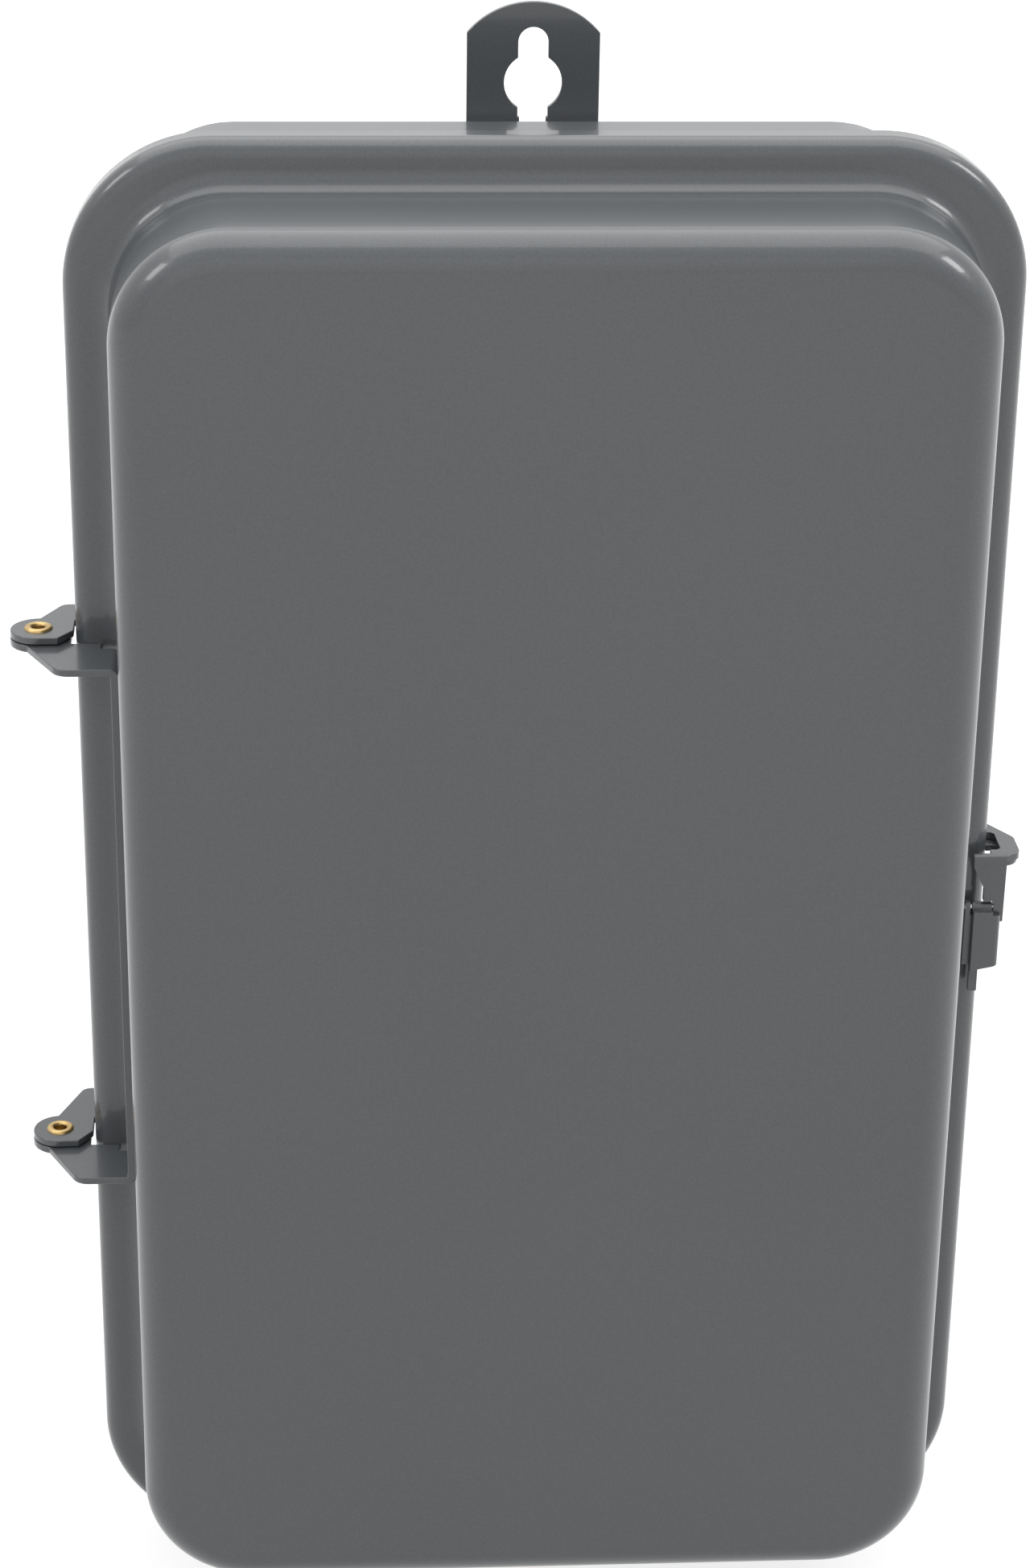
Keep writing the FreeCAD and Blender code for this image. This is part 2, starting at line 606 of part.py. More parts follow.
def make_latch_keeper():
    b = new_body("latch_keeper")
    q1 = skirt_q - 0.4
    q0 = q1 - s.toe_t
    keeper_x = rim_side + s.keeper_out
    extrude(b, "XZ", "Lip", [rect(tub_side, keeper_x, s.clip_bottom, s.toe_top + 2.0)], q0, q1)
    extrude(b, "XZ", "Foot",
            [rect(tub_side, tub_side + s.toe_t, s.clip_bottom, s.toe_top + 2.0)], q0 - 14.0, q1)
    fillet(b, "Bend", lambda e: is_along(e, 2) and near(e, 0, tub_side.value + s.toe_t.value, 0.01)
           and near(e, 1, -q0.value, 0.01), 1.2)


# ---------------------------------------------------------------- cover
def make_front_cover():
    b = new_body("front_cover")
    extrude(b, "XZ", "Rim", [rounded(s.rim_w, s.rim_h, s.rim_r)], skirt_q, s.rim_q)
    extrude(b, "XZ", "Dome", [rounded(dome_w, dome_h, dome_r)], s.rim_q, face_q)
    t = s.sheet_t
    cut(b, "XZ", "SkirtHollow", [rounded(s.rim_w - 2 * t, s.rim_h - 2 * t, s.rim_r - t)],
        skirt_q, s.rim_q - t)
    cut(b, "XZ", "DomeHollow", [rounded(dome_w - 2 * t, dome_h - 2 * t, dome_r - t)],
        s.rim_q - t, face_q - t)
    side = dome_w.value / 2 + 1
    high = dome_h.value / 2 + 1

    def level(e, q):
        return is_at(e, 1, -q.value)

    fillet(b, "NoseInside", lambda e: level(e, face_q - t), s.dome_nose - t)
    fillet(b, "RollInside", lambda e: level(e, s.rim_q - t) and not inside(e, side, high),
           s.rim_roll - t)
    fillet(b, "Nose", lambda e: level(e, face_q), s.dome_nose)
    fillet(b, "Roll", lambda e: level(e, s.rim_q) and not inside(e, side, high), s.rim_roll)
    fillet(b, "Root", lambda e: level(e, s.rim_q) and inside(e, side, high), s.dome_root)
    fillet(b, "RootInside", lambda e: level(e, s.rim_q - t) and inside(e, side, high),
           s.dome_root + t)


# ---------------------------------------------------------------- inside the case
def make_mounting_panel():
    b = new_body("mounting_panel")
    t = s.sheet_t
    half = panel_w / 2
    raised = half - s.panel_foot
    q = s.panel_q
    pts = [(-half, -t), (-half, -2 * t), (-raised - t, -2 * t), (-raised - t, -q),
           (raised + t, -q), (raised + t, -2 * t), (half, -2 * t), (half, -t), (raised, -t),
           (raised, -q + t), (-raised, -q + t), (-raised, -t)]
    extrude(b, "XY", "Hat", [poly(pts)], -panel_h / 2, panel_h / 2)
    holes = [circle(panel_screw_x * kx, panel_screw_z * kz, s.screw_r + s.screw_gap)
             for kx, kz in grid((-1, 1), (-1, 1))]
    cut(b, "XZ", "ScrewHoles", holes, t, 2 * t)
    slots = [rect(-30.0, 30.0, panel_h / 2 * k - 22.0 * k, panel_h / 2 * k - 30.0 * k)
             for k in (-1, 1)]
    cut(b, "XZ", "Slots", slots, q - t, q)


def make_panel_screws():
    b = new_body("panel_screws")
    spots = [(panel_screw_x * kx, panel_screw_z * kz) for kx, kz in grid((-1, 1), (-1, 1))]
    shanks = [circle(x, z, s.screw_r) for x, z in spots]
    extrude(b, "XZ", "Shanks", shanks, 0.3, 2 * s.sheet_t)
    heads = [circle(x, z, s.screw_head_r) for x, z in spots]
    extrude(b, "XZ", "Heads", heads, 2 * s.sheet_t, 2 * s.sheet_t + s.screw_head_t)
    slots = [rect(x - 3.4, x + 3.4, z - 0.5, z + 0.5) for x, z in spots]
    cut(b, "XZ", "Drives", slots, 2 * s.sheet_t + 1.4, 2 * s.sheet_t + s.screw_head_t)


def make_switch_base():
    b = new_body("switch_base")
    half = s.base_w / 2
    end = s.base_h / 2
    wall = s.wall_t
    extrude(b, "XZ", "Block", [centred(s.base_w, s.base_h)], s.panel_q, s.base_q)
    cells = [rect(wall / 2, half - wall, -cavity_z, cavity_z),
             rect(-half + wall, -wall / 2, -cavity_z, cavity_z)]
    cut(b, "XZ", "Cells", cells, s.floor_q, s.base_q)
    bays = []
    for k in (-1, 1):
        a = (cavity_z + wall) * k
        z = (end + 1.0) * k
        bays.append(rect(wall / 2, half - wall, a, z))
        bays.append(rect(-half + wall, -wall / 2, a, z))
    cut(b, "XZ", "TerminalBays", bays, s.floor_q, s.base_q)
    notch = s.strip_w / 2 + 0.3
    slots = []
    for k, side in grid((-1, 1), (-1, 1)):
        slots.append(rect(s.arm_x * side - notch, s.arm_x * side + notch,
                          (cavity_z - 1.0) * k, (cavity_z + wall + 1.0) * k))
    cut(b, "XZ", "StripSlots", slots, s.floor_q, s.floor_q + s.strip_t + 0.4)
    axis = -s.bar_q
    cut(b, "YZ", "BarBore", [circle(axis, s.bar_z, s.bar_r + 0.4)], -wall, wall)
    ends = [circle(axis, s.bar_z, s.bar_end_r + s.pin_gap)]
    cut(b, "YZ", "Bearings", ends, -half + 1.0, half - 1.0)
    return b


def make_switch_cover():
    b = new_body("switch_cover")
    half = s.base_w / 2
    high = s.cover_h / 2
    t = s.shell_t
    extrude(b, "XZ", "Block", [centred(s.base_w, s.cover_h)], s.base_q, s.cover_q)
    fillet(b, "FrontEdge", lambda e: is_at(e, 1, -s.cover_q.value), 3.0)
    cut(b, "XZ", "Hollow", [rect(-half + t, half - t, -high + t, high - t)],
        s.base_q, s.cover_q - t)
    cut(b, "XZ", "HandleSlot",
        [rect(-s.stem_w / 2 - 1.0, s.stem_w / 2 + 1.0, -s.slot_z, s.slot_z)],
        s.cover_q - t, s.cover_q)
    cheek0 = s.hub_w / 2 + 0.5
    for side, name in ((-1, "LeftCheek"), (1, "RightCheek")):
        x0 = cheek0 if side > 0 else -cheek0 - 4.0
        extrude(b, "YZ", name, [rect(-s.cover_q + t, -s.toggle_q + 6.0, -8.0, 8.0)], x0, x0 + 4.0)
    cut(b, "YZ", "ShaftBearings", [circle(-s.toggle_q, 0, s.toggle_shaft_r + s.pin_gap)],
        -cheek0 - 4.0, cheek0 + 4.0)
    spots = [(34.0 * kx, 37.0 * kz) for kx, kz in grid((-1, 1), (-1, 1))]
    posts = [circle(x, z, 4.0) for x, z in spots]
    extrude(b, "XZ", "Posts", posts, s.base_q, s.cover_q - t)
    holes = [circle(x, z, 1.8) for x, z in spots]
    cut(b, "XZ", "ScrewHoles", holes, s.base_q, s.cover_q)


def make_switch_screws():
    b = new_body("switch_screws")
    spots = [(34.0 * kx, 37.0 * kz) for kx, kz in grid((-1, 1), (-1, 1))]
    extrude(b, "XZ", "Shanks", [circle(x, z, 1.7) for x, z in spots], s.base_q + 2.0, s.cover_q)
    extrude(b, "XZ", "Heads", [circle(x, z, 3.0) for x, z in spots], s.cover_q, s.cover_q + 1.6)
    cut(b, "XZ", "Drives", [rect(x - 2.4, x + 2.4, z - 0.4, z + 0.4) for x, z in spots],
        s.cover_q + 0.8, s.cover_q + 1.6)


def turned(body, angle, q, z):
    # the body is drawn about its own pivot and set at the angle it rests at
    body.Placement = FreeCAD.Placement(FreeCAD.Vector(0, -dim(q).value, dim(z).value),
                                       FreeCAD.Rotation(FreeCAD.Vector(1, 0, 0), 0))
    body.setExpression("Placement.Rotation.Axis.x", "1")
    body.setExpression("Placement.Rotation.Axis.y", "0")
    body.setExpression("Placement.Rotation.Axis.z", "0")
    body.setExpression("Placement.Rotation.Angle", dim(angle).text)
    place(body, 0, q, z)


def make_toggle():
    b = new_body("toggle_handle")
    half = s.hub_w / 2
    extrude(b, "YZ", "Hub", [circle(0, 0, s.hub_r)], -half, half)
    reach = -(s.stem_q - s.toggle_q)
    thick = s.stem_t / 2
    stem = poly([(reach, -thick + 1.2), (reach, thick - 1.2), (-2.0, thick), (-2.0, -thick)])
    extrude(b, "YZ", "Stem", [stem], -s.stem_w / 2, s.stem_w / 2)
    fillet(b, "StemTip", lambda e: is_at(e, 1, reach.value), 1.2)
    cut(b, "YZ", "HubFlat", [rect(5.0, s.hub_r + 1.0, -s.hub_r, s.hub_r)], -half, half)
    shaft = [circle(0, 0, s.toggle_shaft_r)]
    extrude(b, "YZ", "Shaft", shaft, -half - 4.2, half + 4.2)
    turned(b, s.toggle_off, s.toggle_q, 0)


def make_crossbar():
    b = new_body("contact_crossbar")
    inner = s.base_w / 2 - s.wall_t - 0.5
    extrude(b, "YZ", "Bar", [circle(0, 0, s.bar_r)], -inner, inner)
    extrude(b, "YZ", "Ends", [circle(0, 0, s.bar_end_r)], -inner - 3.0, inner + 3.0)
    slots = [rect(-s.arm_t / 2, s.arm_t / 2, -s.bar_r - 1.0, s.bar_r + 1.0)]
    for side, name in ((-1, "LeftSlot"), (1, "RightSlot")):
        x = s.arm_x * side
        cut(b, "YZ", name, slots, x - s.arm_w / 2, x + s.arm_w / 2)
    turned(b, s.arm_open, s.bar_q, s.bar_z)


def make_contact_arms():
    b = new_body("contact_arms")
    t = s.arm_t / 2
    tip = s.bar_q - s.floor_q - s.strip_t - s.contact_t - s.contact_gap
    blade = poly([(-t, -s.bar_r), (t, -s.bar_r), (t, s.arm_len - 7.0),
                  (tip - 2.0, s.arm_len - 6.0), (tip - 2.0, s.arm_len + 3.0),
                  (-t, s.arm_len + 3.0)])
    pads = rect(tip - 2.0, tip, s.arm_len - 4.0, s.arm_len + 2.0)
    for side, name in ((-1, "Left"), (1, "Right")):
        x = s.arm_x * side
        extrude(b, "YZ", name + "Blade", [blade], x - s.arm_w / 2, x + s.arm_w / 2)
        extrude(b, "YZ", name + "Pad", [pads], x - s.arm_w / 2, x + s.arm_w / 2)
    cut(b, "YZ", "BarRoom", [rect(-t - 1.0, t + 1.0, -s.bar_r - 1.0, -s.bar_r + 0.2)],
        -s.arm_x - s.arm_w, s.arm_x + s.arm_w)
    turned(b, s.arm_open, s.bar_q, s.bar_z)


def make_line_contacts():
    b = new_body("line_contacts")
    q = s.floor_q
    z0 = s.bar_z + s.arm_len - 6.0
    end = s.base_h / 2 - 2.0
    half = s.strip_w / 2
    strips = [rect(s.arm_x * k - half, s.arm_x * k + half, z0, end) for k in (-1, 1)]
    extrude(b, "XZ", "Strips", strips, q, q + s.strip_t)
    mid = s.bar_z + s.arm_len - 1.0
    pads = [rect(s.arm_x * k - 4.0, s.arm_x * k + 4.0, mid - 4.0, mid + 4.0) for k in (-1, 1)]
    extrude(b, "XZ", "Pads", pads, q + s.strip_t, q + s.strip_t + s.contact_t)


def make_load_strips():
    b = new_body("load_strips")
    half = s.strip_w / 2
    end = -s.base_h / 2 + 2.0
    strips = [rect(s.arm_x * k - half, s.arm_x * k + half, end, s.bar_z - 6.0) for k in (-1, 1)]
    extrude(b, "XZ", "Strips", strips, s.floor_q, s.floor_q + s.strip_t)


def make_lugs(label, side):
    b = new_body(label)
    half = s.lug_w / 2
    base = s.floor_q + s.strip_t
    mid = (s.base_h / 2 - 10.5) * side
    z0 = mid - s.lug_h / 2
    z1 = mid + s.lug_h / 2
    blocks = [rect(s.arm_x * k - half, s.arm_x * k + half, z0, z1) for k in (-1, 1)]
    extrude(b, "XZ", "Blocks", blocks, base, s.lug_q)
    wire_y = -(base + 2.0 + s.wire_r)
    bores = [circle(s.arm_x * k, wire_y, s.wire_r) for k in (-1, 1)]
    cut(b, "XY", "WireBores", bores, z0, z1)
    threads = [circle(s.arm_x * k, mid, s.lug_screw_r) for k in (-1, 1)]
    cut(b, "XZ", "Threads", threads, base + 2.0 + s.wire_r, s.lug_q)


def make_lug_screws():
    b = new_body("lug_screws")
    spots = [(s.arm_x * kx, (s.base_h / 2 - 10.5) * kz) for kx, kz in grid((-1, 1), (-1, 1))]
    low = s.floor_q + s.strip_t + 2.0 + 2 * s.wire_r + 0.3
    extrude(b, "XZ", "Shanks", [circle(x, z, s.lug_screw_r - s.screw_gap) for x, z in spots],
            low, s.lug_q - 0.5)
    cut(b, "XZ", "Drives", [circle(x, z, 2.2) for x, z in spots], s.lug_q - 3.5, s.lug_q - 0.5)


def make_dead_front():
    b = new_body("dead_front")
    t = s.sheet_t
    outline = rounded(front_w, front_h, s.front_r)
    extrude(b, "XZ", "Plate", [outline], s.front_q - s.front_turn, s.front_q)
    fillet(b, "Edge", lambda e: is_at(e, 1, -s.front_q.value), 2.5)
    cut(b, "XZ", "Pan", [rounded(front_w - 2 * t, front_h - 2 * t, s.front_r - t)],
        s.front_q - s.front_turn, s.front_q - t)
    wide = s.base_w / 2 + s.front_gap
    high = s.cover_h / 2 + s.front_gap
    cut(b, "XZ", "Window", [rect(-wide, wide, -high, high)], s.front_q - t, s.front_q)
    holes = [circle(post_x * kx, post_z * kz, s.post_screw_r + s.screw_gap)
             for kx, kz in grid((-1, 1), (-1, 1))]
    cut(b, "XZ", "ScrewHoles", holes, s.front_q - t, s.front_q)


def make_dead_front_posts():
    b = new_body("dead_front_posts")
    spots = [(post_x * kx, post_z * kz) for kx, kz in grid((-1, 1), (-1, 1))]
    top = s.front_q - s.sheet_t
    extrude(b, "XZ", "Posts", [circle(x, z, s.post_r) for x, z in spots], s.sheet_t, top)
    cut(b, "XZ", "Threads", [circle(x, z, s.post_screw_r) for x, z in spots], top - 10.0, top)


def make_dead_front_screws():
    b = new_body("dead_front_screws")
    spots = [(post_x * kx, post_z * kz) for kx, kz in grid((-1, 1), (-1, 1))]
    q = s.front_q
    extrude(b, "XZ", "Shanks", [circle(x, z, s.post_screw_r - 0.05) for x, z in spots], q - 9.0, q)
    extrude(b, "XZ", "Heads", [circle(x, z, s.screw_head_r) for x, z in spots],
            q, q + s.screw_head_t)
    cut(b, "XZ", "Drives", [rect(x - 3.2, x + 3.2, z - 0.5, z + 0.5) for x, z in spots],
        q + 1.3, q + s.screw_head_t)


def bar_spots(x, z):
    return [(x, z + s.bar_pitch * k) for k in (-2, -1, 0, 1, 2)]


def make_terminal_bar(label, x, z, base):
    b = new_body(label)
    half = s.bar_w / 2
    extrude(b, "XZ", "Bar", [rect(x - half, x + half, z - s.bar_len / 2, z + s.bar_len / 2)],
            base, base + s.bar_w)
    mid = -(base + s.bar_w / 2)
    bores = [circle(mid, zz, s.bar_bore_r) for xx, zz in bar_spots(x, z)]
    cut(b, "YZ", "WireBores", bores, x - half, x + half)
    threads = [circle(xx, zz, s.bar_screw_r) for xx, zz in bar_spots(x, z)]
    cut(b, "XZ", "Threads", threads, base + s.bar_w / 2, base + s.bar_w)


def make_bar_screws(label, x, z, base):
    b = new_body(label)
    top = base + s.bar_w
    spots = bar_spots(x, z)
    extrude(b, "XZ", "Shanks", [circle(a, c, s.bar_screw_r - 0.05) for a, c in spots],
            base + s.bar_w / 2 + s.bar_bore_r - 0.6, top + 0.4)
    extrude(b, "XZ", "Heads", [circle(a, c, 3.4) for a, c in spots], top + 0.4, top + 2.6)
    cut(b, "XZ", "Drives", [rect(a - 2.6, a + 2.6, c - 0.5, c + 0.5) for a, c in spots],
        top + 1.4, top + 2.6)


def make_neutral_insulator():
    b = new_body("neutral_insulator")
    half = s.bar_w / 2 + 3.0
    high = s.bar_len / 2 + 4.0
    q1 = s.panel_q + s.neutral_lift
    extrude(b, "XZ", "Block", [rect(neutral_x - half, neutral_x + half,
                                    neutral_z - high, neutral_z + high)], s.panel_q, q1)
    fillet(b, "Corners", lambda e: is_along(e, 1), 2.5)


make_rear_case()
make_hanger_tab()
make_case_ear("upper_case_ear", s.hinge_z, s.upper_ear_back, 0.7)
make_case_ear("lower_case_ear", -s.hinge_z, s.lower_ear_back, 2.0)
make_hinge_rivet("upper_hinge_rivet", s.hinge_z)
make_hinge_rivet("lower_hinge_rivet", -s.hinge_z)
make_hasp_staple()
make_latch_keeper()
make_front_cover()
make_cover_bracket()
make_cover_hasp()
make_latch_pin()
make_latch_clip()
make_mounting_panel()
make_panel_screws()
make_switch_base()
make_switch_cover()
make_switch_screws()
make_toggle()
make_crossbar()
make_contact_arms()
make_line_contacts()
make_load_strips()
make_lugs("line_lugs", 1)
make_lugs("load_lugs", -1)
make_lug_screws()
make_dead_front()
make_dead_front_posts()
make_dead_front_screws()
make_terminal_bar("ground_bar", ground_x, ground_z, s.panel_q)
make_bar_screws("ground_bar_screws", ground_x, ground_z, s.panel_q)
make_neutral_insulator()
make_terminal_bar("neutral_bar", neutral_x, neutral_z, s.panel_q + s.neutral_lift)
make_bar_screws("neutral_bar_screws", neutral_x, neutral_z, s.panel_q + s.neutral_lift)

doc.recompute()
wrong = []
for obj in doc.Objects:
    if "Invalid" in obj.State or "Error" in obj.State:
        wrong.append(obj.Name)
for body in nodes:
    if body.Shape.isNull() or not body.Shape.isValid() or body.Shape.Volume < 1e-3:
        wrong.append(body.Label)
if wrong:
    raise ValueError("bad objects: " + ", ".join(wrong))
os.makedirs("parts", exist_ok=True)
for body in nodes:
    body.Shape.exportStep("parts/%s.step" % body.Label)
    print("%-22s %10.1f mm3  solids %d" % (body.Label, body.Shape.Volume, len(body.Shape.Solids)))
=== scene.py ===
import json
import math

import bmesh
import bpy
from mathutils import Matrix, Vector

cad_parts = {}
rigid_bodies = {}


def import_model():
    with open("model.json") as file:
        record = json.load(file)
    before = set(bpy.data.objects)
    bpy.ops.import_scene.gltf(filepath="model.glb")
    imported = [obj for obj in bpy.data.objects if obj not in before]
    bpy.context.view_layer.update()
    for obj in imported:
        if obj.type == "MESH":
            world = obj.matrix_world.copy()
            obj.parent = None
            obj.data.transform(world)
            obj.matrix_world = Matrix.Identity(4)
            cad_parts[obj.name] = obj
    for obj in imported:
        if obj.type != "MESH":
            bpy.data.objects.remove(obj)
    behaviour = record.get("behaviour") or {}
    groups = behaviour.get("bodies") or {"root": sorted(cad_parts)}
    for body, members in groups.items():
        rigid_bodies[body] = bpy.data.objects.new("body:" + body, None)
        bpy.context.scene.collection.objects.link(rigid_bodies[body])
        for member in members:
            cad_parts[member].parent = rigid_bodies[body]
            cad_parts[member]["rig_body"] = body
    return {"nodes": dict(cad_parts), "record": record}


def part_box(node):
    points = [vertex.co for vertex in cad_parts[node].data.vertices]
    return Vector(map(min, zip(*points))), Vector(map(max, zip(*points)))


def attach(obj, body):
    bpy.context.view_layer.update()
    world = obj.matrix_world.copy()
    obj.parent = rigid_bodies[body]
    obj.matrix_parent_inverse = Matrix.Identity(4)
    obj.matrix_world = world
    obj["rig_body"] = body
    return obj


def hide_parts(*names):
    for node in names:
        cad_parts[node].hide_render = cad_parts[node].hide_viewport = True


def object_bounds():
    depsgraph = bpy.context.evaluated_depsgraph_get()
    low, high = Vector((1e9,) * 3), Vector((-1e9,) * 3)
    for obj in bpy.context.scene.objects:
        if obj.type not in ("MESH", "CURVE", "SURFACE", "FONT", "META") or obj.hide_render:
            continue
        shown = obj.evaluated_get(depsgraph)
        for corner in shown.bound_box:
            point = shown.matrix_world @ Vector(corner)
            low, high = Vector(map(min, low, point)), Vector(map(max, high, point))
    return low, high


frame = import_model()
CAD_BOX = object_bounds()
NODES = frame["nodes"]
MM = 0.001

# The pressed cover
SHEET = 1.5 * MM
SKIRT = 11.0 * MM
ROLL = 5.0 * MM
ROOT = 6.0 * MM
NOSE = 10.0 * MM
RIM_CORNER = 40.0 * MM
DOME_CORNER = 31.0 * MM
DOME_INSET = 13.4 * MM
FACE_RING = 1.2 * MM

# The hinge eyelets
SHANK = 2.49 * MM
BORE = 1.8 * MM
CROWN = 0.8 * MM
CROWN_STEPS = 12

# How far sharp edges are eased, and what is short enough to close up, in millimetres
EASED = {"rear_case": 0.0, "hanger_tab": 0.2}
USUAL_EASE = 0.25
SLIVER = {"cover_hasp": 0.1}
USUAL_SLIVER = 0.02

# The view
PITCH, YAW, TILT = 23.698, 3.549, -0.817
LENS = 81.278
CAMERA_AT = (-0.0632, -0.9850, 0.4310)


# ---------------------------------------------------------------- materials
class Link:
    """An output socket that takes part in arithmetic."""

    def __init__(self, net, socket):
        self.net = net
        self.socket = socket

    def maths(self, operation, a, b):
        return self.net.add("ShaderNodeMath", {"operation": operation}, {0: a, 1: b}).out()

    def __add__(self, other):
        return self.maths("ADD", self, other)

    def __radd__(self, other):
        return self.maths("ADD", other, self)

    def __sub__(self, other):
        return self.maths("SUBTRACT", self, other)

    def __rsub__(self, other):
        return self.maths("SUBTRACT", other, self)

    def __mul__(self, other):
        return self.maths("MULTIPLY", self, other)

    def __rmul__(self, other):
        return self.maths("MULTIPLY", other, self)

    def most(self, other):
        return self.maths("MAXIMUM", self, other)


class Made:
    """A node just added to a net."""

    def __init__(self, net, node):
        self.net = net
        self.node = node

    def out(self, name=0):
        return Link(self.net, self.node.outputs[name])


class Net:
    """The node tree of one material or of the world."""

    def __init__(self, owner):
        owner.use_nodes = True
        self.owner = owner
        self.tree = owner.node_tree
        self.tree.nodes.clear()

    def add(self, kind, settings=None, values=None):
        node = self.tree.nodes.new(kind)
        for key, value in (settings or {}).items():
            setattr(node, key, value)
        for key, value in (values or {}).items():
            self.put(node.inputs[key], value)
        return Made(self, node)

    def put(self, target, value):
        if isinstance(value, Link):
            self.tree.links.new(value.socket, target)
        else:
            target.default_value = value

    def mix(self, factor, a, b):
        made = self.add("ShaderNodeMix", {"data_type": "RGBA"}, {"Factor": factor})
        self.put(made.node.inputs[6], a)
        self.put(made.node.inputs[7], b)
        return made.out(2)

    def object_place(self):
        return self.add("ShaderNodeTexCoord").out("Object")

    def noise(self, scale, detail=2.0, rough=0.5, vector=None):
        values = {"Vector": vector or self.object_place(), "Scale": scale,
                  "Detail": detail, "Roughness": rough}
        return self.add("ShaderNodeTexNoise", None, values).out()

    def stretched(self, x, y, z):
        values = {"Vector": self.object_place(), "Scale": (x, y, z)}
        return self.add("ShaderNodeMapping", None, values).out()

    def bump(self, height, distance, strength=1.0):
        values = {"Height": height, "Distance": distance, "Strength": strength}
        return self.add("ShaderNodeBump", None, values).out()

    def finish(self, **values):
        shader = self.add("ShaderNodeBsdfPrincipled")
        for key, value in values.items():
            self.put(shader.node.inputs[key.replace("_", " ")], value)
        end = self.add("ShaderNodeOutputMaterial")
        self.tree.links.new(shader.out().socket, end.node.inputs["Surface"])
        return self.owner


def colour(r, g, b):
    return (r, g, b, 1.0)


def new_net(name):
    return Net(bpy.data.materials.new(name))


def enamel(name, dark, light, peel=1.0):
    """Baked enamel: fine flecks, slight clouding and an orange-peel skin."""
    net = new_net(name)
    fleck = net.noise(1500.0, 1.0, 0.6)
    cloud = net.noise(9.0, 2.0, 0.5)
    grain = (fleck - 0.5) * 1.5 + (cloud - 0.5) * 0.5 + 0.5
    base = net.mix(grain, colour(*dark), colour(*light))
    skin = net.noise(420.0, 2.0, 0.5)
    fine = net.noise(1500.0, 1.0, 0.5)
    normal = net.bump(skin + fine * 0.3, 0.00004 * peel, 0.6)
    rough = 0.30 + (cloud - 0.5) * 0.08
    return net.finish(Base_Color=base, Roughness=rough, Normal=normal, Coat_Weight=0.5,
                      Coat_Roughness=0.07, IOR=1.5)


def plated(name, dark, light, rough, streak):
    """Plated metal with fine drawing streaks."""
    net = new_net(name)
    lines = net.noise(1.0, 2.0, 0.6, net.stretched(*streak))
    stain = net.noise(60.0, 3.0, 0.6)
    base = net.mix((lines - 0.5) * 0.8 + (stain - 0.5) * 0.8 + 0.5, colour(*dark), colour(*light))
    return net.finish(Base_Color=base, Metallic=1.0, Roughness=rough + (stain - 0.5) * 0.2,
                      Normal=net.bump(lines, 0.00002, 0.5))


def galvanised(name):
    """Zinc-coated sheet with its crystal spangle."""
    net = new_net(name)
    cells = net.add("ShaderNodeTexVoronoi", {"feature": "F1"},
                    {"Vector": net.object_place(), "Scale": 140.0})
    shade = net.add("ShaderNodeSeparateColor", None, {"Color": cells.out("Color")}).out("Red")
    base = net.mix(shade, colour(0.42, 0.43, 0.43), colour(0.62, 0.63, 0.63))
    return net.finish(Base_Color=base, Metallic=1.0, Roughness=0.34 + shade * 0.16)


def moulded(name, dark, light, rough):
    """Moulded plastic with a fine tool texture."""
    net = new_net(name)
    grain = net.noise(1800.0, 2.0, 0.6)
    cloud = net.noise(40.0, 2.0, 0.5)
    base = net.mix(cloud, colour(*dark), colour(*light))
    return net.finish(Base_Color=base, Roughness=rough + (grain - 0.5) * 0.12,
                      Normal=net.bump(grain, 0.00003, 0.5))


MATERIALS = {
    "enclosure_paint": enamel("blue_grey_enamel", (0.083, 0.090, 0.097), (0.110, 0.119, 0.128)),
    "eyelet_brass": plated("dull_brass", (0.40, 0.27, 0.10), (0.66, 0.48, 0.22), 0.32,
                           (400, 400, 2500)),
    "zinc_steel": plated("bright_zinc", (0.50, 0.50, 0.47), (0.70, 0.70, 0.67), 0.30,
                         (2500, 400, 400)),
    "panel_steel": galvanised("galvanised_sheet"),
    "switch_black": moulded("black_phenolic", (0.020, 0.020, 0.021), (0.032, 0.032, 0.034), 0.42),
    "handle_red": moulded("red_handle", (0.34, 0.018, 0.012), (0.43, 0.028, 0.018), 0.30),
    "crossbar_plastic": moulded("brown_phenolic", (0.11, 0.07, 0.04), (0.16, 0.11, 0.07), 0.45),
    "copper_alloy": plated("strip_copper", (0.52, 0.24, 0.13), (0.72, 0.40, 0.25), 0.34,
                           (300, 300, 3000)),
    "lug_aluminium": plated("tin_plate", (0.60, 0.60, 0.61), (0.76, 0.76, 0.77), 0.36,
                            (300, 300, 3000)),
    "dead_front_grey": enamel("inner_enamel", (0.27, 0.28, 0.29), (0.32, 0.33, 0.34), 0.7),
    "insulator_white": moulded("ivory_nylon", (0.60, 0.57, 0.48), (0.70, 0.67, 0.58), 0.48),
}
SLOT_OF = {p["node"]: p["material_slot"] for p in frame["record"]["subparts"]}


# ---------------------------------------------------------------- pieces
def show(mesh, name, node):
    """Makes a finished mesh a piece that stands for a node: the node's slot material, the node's
    body, the node hidden.
    """
    piece = bpy.data.objects.new(name, mesh)
    bpy.context.scene.collection.objects.link(piece)
    slot = SLOT_OF[node]
    mesh.materials.clear()
    mesh.materials.append(MATERIALS[slot])
    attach(piece, NODES[node]["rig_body"])
    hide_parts(node)
    return piece


def soften(piece, width):
    """Eases the corners of a piece that are sharper than its curves' facets."""
    bevel = piece.modifiers.new("edges", "BEVEL")
    bevel.width = width
    bevel.segments = 2
    bevel.limit_method = "ANGLE"
    bevel.angle_limit = math.radians(38.0)
    bevel.harden_normals = False


def even_normals(piece):
    weighted = piece.modifiers.new("even", "WEIGHTED_NORMAL")
    weighted.keep_sharp = True
    weighted.weight = 50
    return piece


